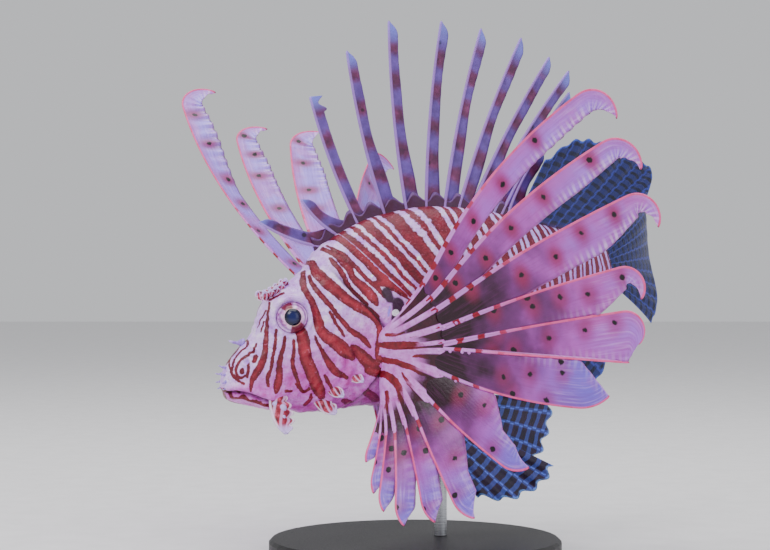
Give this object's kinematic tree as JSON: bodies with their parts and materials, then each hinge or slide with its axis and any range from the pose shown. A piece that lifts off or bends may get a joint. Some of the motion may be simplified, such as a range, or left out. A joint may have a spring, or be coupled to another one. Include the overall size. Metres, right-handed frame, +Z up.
{
  "type": "red lionfish, life-size model on a display stand",
  "caption": "Still life-size red lionfish with spread banded fins and tall dorsal spines, held over a round display base by a rod.",
  "frame": {"origin": "centre of the stand base's underside", "axes": "+Z up; the head points to -X, turned 20 degrees towards -Y; the fish's left side faces -Y"},
  "size_m": [0.242, 0.2318, 0.2496],
  "materials": {
    "skin": "satin, brick-red bars between pale lilac lines",
    "banded_fin": "satin, pale lilac-pink with dark spots and red edges",
    "dark_fin": "satin, dark blue-grey with pale spots",
    "eye": "high gloss, dark pupil in a pink iris",
    "stand_base": "matte black",
    "stand_rod": "brushed"
  },
  "bodies": {
    "root": {"head": "skin", "lower_jaw": "skin", "torso": "skin", "tail": "skin", "eye_left": "eye", "eye_right": "eye", "dorsal_spines": "banded_fin", "soft_dorsal_fin": "dark_fin", "anal_fin": "dark_fin", "tail_fin": "dark_fin", "pelvic_fin_left": "dark_fin", "pelvic_fin_right": "dark_fin", "pectoral_fin_left": "banded_fin", "pectoral_fin_right": "banded_fin", "stand_base": "stand_base", "stand_rod": "stand_rod"}
  },
  "joints": []
}
